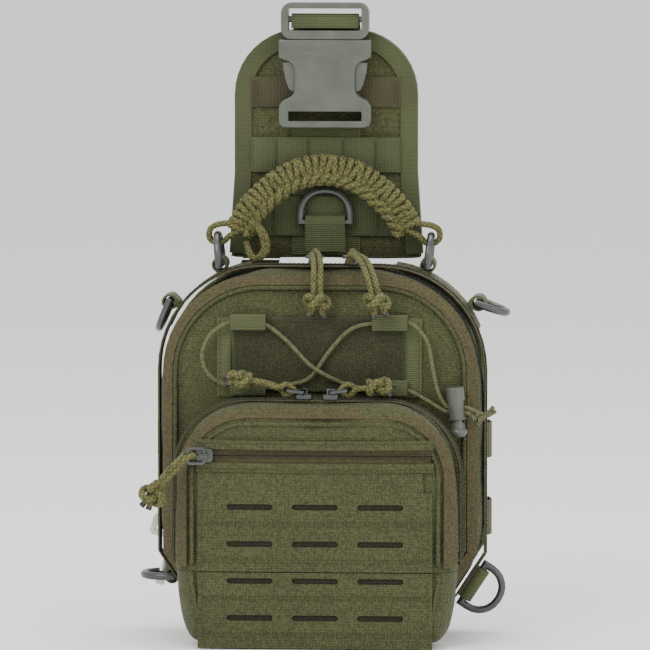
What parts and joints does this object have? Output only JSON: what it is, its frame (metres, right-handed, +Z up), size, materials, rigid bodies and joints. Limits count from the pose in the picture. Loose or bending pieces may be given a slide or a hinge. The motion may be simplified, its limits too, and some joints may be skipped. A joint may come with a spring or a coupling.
{
  "type": "sling bag",
  "caption": "Single-strap tactical sling bag with zipped main and front compartments, padded strap, side-release buckle, D-rings, cord-braid carry handle and laced elastic cord.",
  "frame": {"origin": "middle of the flat base, where the front shell stands on the ground", "axes": "+Z up the bag towards the strap, front of the bag towards -Y, +X to the right seen from the front"},
  "size_m": [0.2538, 0.1483, 0.4305],
  "materials": {
    "nylon": "coarse twill",
    "zip_tape": "zip tape",
    "webbing": "ribbed webbing",
    "cord": "braided cord",
    "elastic": "braided elastic",
    "patch": "loop pile",
    "plastic": "satin",
    "dark_metal": "satin dark",
    "bright_metal": "satin"
  },
  "bodies": {
    "back": {"back_shell": "nylon", "back_panel": "nylon", "main_zip_rear_tape": "zip_tape", "handle_tab_left": "webbing", "handle_tab_right": "webbing", "upper_tab_left": "webbing", "upper_tab_right": "webbing", "lower_tab_left": "webbing", "lower_tab_right": "webbing", "sling_webbing": "webbing", "snap_hook": "bright_metal"},
    "front": {"front_shell": "nylon", "main_zip_front_tape": "zip_tape", "pocket_tray": "nylon", "molle_panel_lower": "nylon", "loop_patch": "patch", "lace_webbing_left": "webbing", "lace_webbing_right": "webbing", "elastic_cord": "elastic", "cord_lock_barrel": "plastic"},
    "cord_lock_plunger": {"cord_lock_button": "plastic"},
    "pocket": {"pocket_front": "nylon", "pocket_zip_tape": "zip_tape", "molle_panel_upper": "nylon", "face_zip_tape": "zip_tape"},
    "main_left_slider_body": {"main_left_slider": "dark_metal"},
    "main_left_pull": {"main_left_puller": "dark_metal", "main_left_pull_cord": "cord"},
    "main_right_slider_body": {"main_right_slider": "dark_metal"},
    "main_right_pull": {"main_right_puller": "dark_metal", "main_right_pull_cord": "cord"},
    "pocket_left_slider_body": {"pocket_left_slider": "dark_metal"},
    "pocket_left_pull": {"pocket_left_puller": "dark_metal", "pocket_left_pull_cord": "cord"},
    "pocket_right_slider_body": {"pocket_right_slider": "dark_metal"},
    "pocket_right_pull": {"pocket_right_puller": "dark_metal", "pocket_right_pull_cord": "cord"},
    "face_slider_body": {"face_slider": "dark_metal"},
    "face_pull": {"face_puller": "dark_metal", "face_pull_cord": "cord"},
    "handle_ring_left": {"handle_ring_left": "plastic"},
    "handle_ring_right": {"handle_ring_right": "plastic"},
    "upper_ring_left": {"upper_ring_left": "plastic"},
    "upper_ring_right": {"upper_ring_right": "plastic"},
    "lower_ring_left": {"lower_ring_left": "dark_metal"},
    "lower_ring_right": {"lower_ring_right": "dark_metal"},
    "strap_ring": {"strap_ring": "dark_metal"},
    "handle": {"carry_handle": "cord"},
    "strap": {"strap_panel": "nylon", "strap_webbing_front": "webbing", "strap_webbing_rear": "webbing", "strap_row_lower": "webbing", "strap_row_upper": "webbing", "strap_ring_tab": "webbing", "buckle_socket": "plastic"},
    "plug": {"buckle_plug": "plastic", "adjuster_webbing": "webbing"},
    "prong_left": {"buckle_prong_left": "plastic"},
    "prong_right": {"buckle_prong_right": "plastic"},
    "gate": {"hook_gate": "bright_metal"}
  },
  "joints": [
    {"name": "main_flap", "type": "hinge", "parent": "back", "child": "front", "pos_m": [0, 0.014, 0], "axis": [1, 0, 0], "range_deg": [0, 75]},
    {"name": "pocket_flap", "type": "hinge", "parent": "front", "child": "pocket", "pos_m": [0, -0.0638, 0.052], "axis": [1, 0, 0], "range_deg": [0, 70]},
    {"name": "strap_fold", "type": "hinge", "parent": "back", "child": "strap", "pos_m": [0, 0.0665, 0.254], "axis": [1, 0, 0], "range_deg": [-160, 0]},
    {"name": "buckle_release", "type": "slide", "parent": "strap", "child": "plug", "axis": [0, 0, 1], "range_m": [0, 0.045]},
    {"name": "prong_right_squeeze", "type": "hinge", "parent": "plug", "child": "prong_right", "pos_m": [0.0185, 0.0437, 0.4037], "axis": [0, 1, 0], "range_deg": [0, 7], "stiffness_Nm_per_rad": 0.4},
    {"name": "prong_left_squeeze", "type": "hinge", "parent": "plug", "child": "prong_left", "pos_m": [-0.0185, 0.0437, 0.4037], "axis": [0, 1, 0], "range_deg": [-7, 0], "stiffness_Nm_per_rad": 0.4},
    {"name": "main_left_zip", "type": "slide", "parent": "front", "child": "main_left_slider_body", "axis": [1, 0, 0], "range_m": [-0.031, 0]},
    {"name": "main_left_pull_swing", "type": "hinge", "parent": "main_left_slider_body", "child": "main_left_pull", "pos_m": [-0.005, 0.014, 0.2585], "axis": [1, 0, 0], "range_deg": [-95, 0]},
    {"name": "main_right_zip", "type": "slide", "parent": "front", "child": "main_right_slider_body", "axis": [1, 0, 0], "range_m": [0, 0.015]},
    {"name": "main_right_pull_swing", "type": "hinge", "parent": "main_right_slider_body", "child": "main_right_pull", "pos_m": [0.02, 0.014, 0.2585], "axis": [1, 0, 0], "range_deg": [-95, 0]},
    {"name": "pocket_left_zip", "type": "slide", "parent": "pocket", "child": "pocket_left_slider_body", "axis": [1, 0, 0], "range_m": [-0.031, 0]},
    {"name": "pocket_left_pull_swing", "type": "hinge", "parent": "pocket_left_slider_body", "child": "pocket_left_pull", "pos_m": [-0.009, -0.0383, 0.1715], "axis": [0, -1, 0], "range_deg": [-95, 0]},
    {"name": "pocket_right_zip", "type": "slide", "parent": "pocket", "child": "pocket_right_slider_body", "axis": [1, 0, 0], "range_m": [0, 0.031]},
    {"name": "pocket_right_pull_swing", "type": "hinge", "parent": "pocket_right_slider_body", "child": "pocket_right_pull", "pos_m": [0.009, -0.0383, 0.1715], "axis": [0, 1, 0], "range_deg": [-95, 0]},
    {"name": "face_zip", "type": "slide", "parent": "pocket", "child": "face_slider_body", "axis": [1, 0, 0], "range_m": [0, 0.14]},
    {"name": "face_pull_swing", "type": "hinge", "parent": "face_slider_body", "child": "face_pull", "pos_m": [-0.074, -0.0685, 0.131], "axis": [0, 0, -1], "range_deg": [-95, 0]},
    {"name": "handle_ring_left_rock", "type": "hinge", "parent": "back", "child": "handle_ring_left", "pos_m": [-0.071, 0.035, 0.25226], "axis": [0, 1, 0], "range_deg": [-1.5, 1.5]},
    {"name": "handle_ring_right_rock", "type": "hinge", "parent": "back", "child": "handle_ring_right", "pos_m": [0.071, 0.035, 0.25226], "axis": [0, 1, 0], "range_deg": [-1.5, 1.5]},
    {"name": "handle_swing", "type": "hinge", "parent": "back", "child": "handle", "pos_m": [0, 0.035, 0.27226], "axis": [1, 0, 0], "range_deg": [-2, 12]},
    {"name": "upper_ring_left_swing", "type": "hinge", "parent": "back", "child": "upper_ring_left", "pos_m": [-0.1055, 0.037, 0.2265], "axis": [0, 1, 0], "range_deg": [0, 110]},
    {"name": "upper_ring_right_swing", "type": "hinge", "parent": "back", "child": "upper_ring_right", "pos_m": [0.1055, 0.037, 0.2265], "axis": [0, 1, 0], "range_deg": [-60, 45]},
    {"name": "lower_ring_left_swing", "type": "hinge", "parent": "back", "child": "lower_ring_left", "pos_m": [-0.1042, 0.04, 0.038], "axis": [0, 1, 0], "range_deg": [-3, 3]},
    {"name": "lower_ring_right_swing", "type": "hinge", "parent": "back", "child": "lower_ring_right", "pos_m": [0.1018, 0.04, 0.0332], "axis": [0.5482, 0, 0.8363], "range_deg": [-60, 60]},
    {"name": "strap_ring_swing", "type": "hinge", "parent": "strap", "child": "strap_ring", "pos_m": [0, 0.0435, 0.2802], "axis": [1, 0, 0], "range_deg": [0, 140]},
    {"name": "cord_lock_press", "type": "slide", "parent": "front", "child": "cord_lock_plunger", "axis": [-0.0998, 0, 0.995], "range_m": [0, 0.004], "stiffness_N_per_m": 600, "springref_m": -0.001},
    {"name": "hook_gate_open", "type": "hinge", "parent": "back", "child": "gate", "pos_m": [-0.1083, 0.0587, 0.0514], "axis": [0.9548, 0, -0.2974], "range_deg": [0, 6], "stiffness_Nm_per_rad": 0.03, "springref_deg": -2.86}
  ],
  "couplings": [
    {"joint": "prong_left_squeeze", "follows": "prong_right_squeeze", "ratio": -1}
  ]
}
